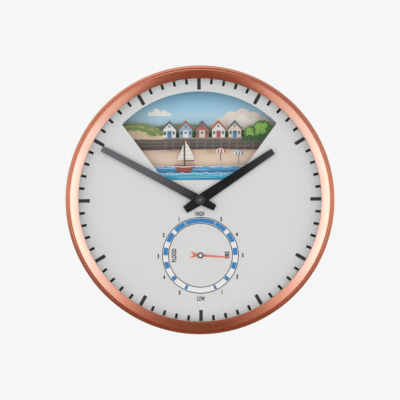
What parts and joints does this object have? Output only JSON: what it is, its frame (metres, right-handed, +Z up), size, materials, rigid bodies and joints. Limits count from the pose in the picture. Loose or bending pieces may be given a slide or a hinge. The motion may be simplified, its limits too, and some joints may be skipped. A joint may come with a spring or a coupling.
{
  "type": "tide clock",
  "caption": "Round wall clock with a copper-finish case, a tide hand on its own dial, and a fan-shaped window where layered sea panels rise and fall.",
  "frame": {"origin": "centre of the case's flat back rim, on the wall plane and on the dial's axis", "axes": "+Z up (twelve o'clock), +X to the viewer's right, the dial faces -Y"},
  "size_m": [0.39, 0.093, 0.39],
  "materials": {
    "copper": "spun metal, satin copper finish",
    "clear_glass": "flat clear float glass",
    "gasket_rubber": "matte black gasket",
    "carrier_plastic": "moulded light grey plastic",
    "dial_enamel": "satin off-white enamel",
    "hand_black": "satin black paint",
    "tide_coral": "coral red paint",
    "cap_white": "white moulded cap",
    "sky_card": "printed card, matt",
    "hills_card": "printed card, matt",
    "shore_card": "printed card, matt",
    "beach_card": "printed card, matt",
    "sea_front": "printed plastic sheet",
    "sea_rear": "printed plastic sheet",
    "boat_card": "printed card, matt",
    "black_plastic": "moulded black plastic",
    "panel_board": "flat black panel, fine grain",
    "plain_steel": "zinc-plated steel",
    "bare_aluminium": "rolled sheet",
    "brass": "turned brass",
    "gear_plastic": "moulded acetal",
    "board_green": "glass-fibre circuit board",
    "cell_wrap": "plain cell sleeve"
  },
  "bodies": {
    "case": {"front_bezel": "copper", "case_drum": "copper", "bezel_grub_screws": "plain_steel", "glass_gasket": "gasket_rubber", "front_glass": "clear_glass", "glass_carrier": "carrier_plastic", "dial_plate": "dial_enamel", "picture_rail_left": "black_plastic", "picture_rail_right": "black_plastic", "sky_backdrop": "sky_card", "hills_card": "hills_card", "shore_card": "shore_card", "beach_card": "beach_card", "sea_guide_left": "black_plastic", "sea_guide_right": "black_plastic", "mechanism_plate": "bare_aluminium", "plate_posts": "brass", "plate_screws": "plain_steel", "movement_case": "black_plastic", "movement_cover": "black_plastic", "bush_nut": "brass", "lift_motor": "plain_steel", "tide_motor": "plain_steel", "motor_screws": "plain_steel", "back_panel": "panel_board", "panel_screws": "plain_steel", "hanger_plate": "plain_steel", "hanger_rivets": "plain_steel", "battery_box": "black_plastic", "battery_cells": "cell_wrap", "battery_contacts": "plain_steel", "controller_board": "board_green", "board_components": "black_plastic", "board_posts": "cap_white"},
    "minute": {"minute_arbor": "brass", "minute_hand": "hand_black", "minute_cap": "hand_black"},
    "hour": {"hour_wheel": "gear_plastic", "hour_hand": "hand_black"},
    "motion": {"motion_wheel": "gear_plastic"},
    "set_knob": {"time_set_knob": "black_plastic"},
    "tide": {"tide_arbor": "brass", "tide_hand": "tide_coral", "tide_boss": "hand_black", "tide_cap": "cap_white"},
    "lift": {"lift_shaft": "plain_steel", "front_pinion": "gear_plastic", "rear_pinion": "gear_plastic"},
    "front_sea": {"front_sea_panel": "sea_front"},
    "rear_sea": {"rear_sea_panel": "sea_rear", "sail_boat": "boat_card", "boat_block": "boat_card"},
    "battery_door": {"battery_cover": "black_plastic"},
    "set_button": {"tide_set_button": "cap_white"}
  },
  "joints": [
    {"name": "minute_turn", "type": "hinge", "parent": "case", "child": "minute", "pos_m": [0, -0.07, 0], "axis": [0, 1, 0], "continuous": true},
    {"name": "hour_turn", "type": "hinge", "parent": "case", "child": "hour", "pos_m": [0, -0.07, 0], "axis": [0, 1, 0], "continuous": true},
    {"name": "motion_turn", "type": "hinge", "parent": "case", "child": "motion", "pos_m": [-0.012, -0.042, 0], "axis": [0, 1, 0], "continuous": true},
    {"name": "set_knob_turn", "type": "hinge", "parent": "case", "child": "set_knob", "pos_m": [-0.0167, -0.003, -0.01197], "axis": [0, 1, 0], "continuous": true},
    {"name": "tide_turn", "type": "hinge", "parent": "case", "child": "tide", "pos_m": [0, -0.07, -0.0807], "axis": [0, 1, 0], "continuous": true},
    {"name": "lift_turn", "type": "hinge", "parent": "case", "child": "lift", "pos_m": [0.036, -0.06, -0.02], "axis": [0, -1, 0], "range_deg": [-80, 80]},
    {"name": "front_sea_slide", "type": "slide", "parent": "case", "child": "front_sea", "axis": [0, 0, 1], "range_m": [-0.0084, 0.0084]},
    {"name": "rear_sea_slide", "type": "slide", "parent": "case", "child": "rear_sea", "axis": [0, 0, 1], "range_m": [-0.01396, 0.01396]},
    {"name": "battery_cover_hinge", "type": "hinge", "parent": "case", "child": "battery_door", "pos_m": [0.0423, -0.00205, -0.0673], "axis": [1, 0, 0], "range_deg": [0, 95]},
    {"name": "tide_set_press", "type": "slide", "parent": "case", "child": "set_button", "axis": [0, -1, 0], "range_m": [0, 0.001], "stiffness_N_per_m": 300}
  ],
  "couplings": [
    {"joint": "hour_turn", "follows": "minute_turn", "ratio": 0.083333},
    {"joint": "motion_turn", "follows": "minute_turn", "ratio": -0.33333},
    {"joint": "set_knob_turn", "follows": "minute_turn", "ratio": 0.77778},
    {"joint": "front_sea_slide", "follows": "rear_sea_slide", "ratio": 0.6},
    {"joint": "lift_turn", "follows": "rear_sea_slide", "rad_per_m": 100}
  ]
}
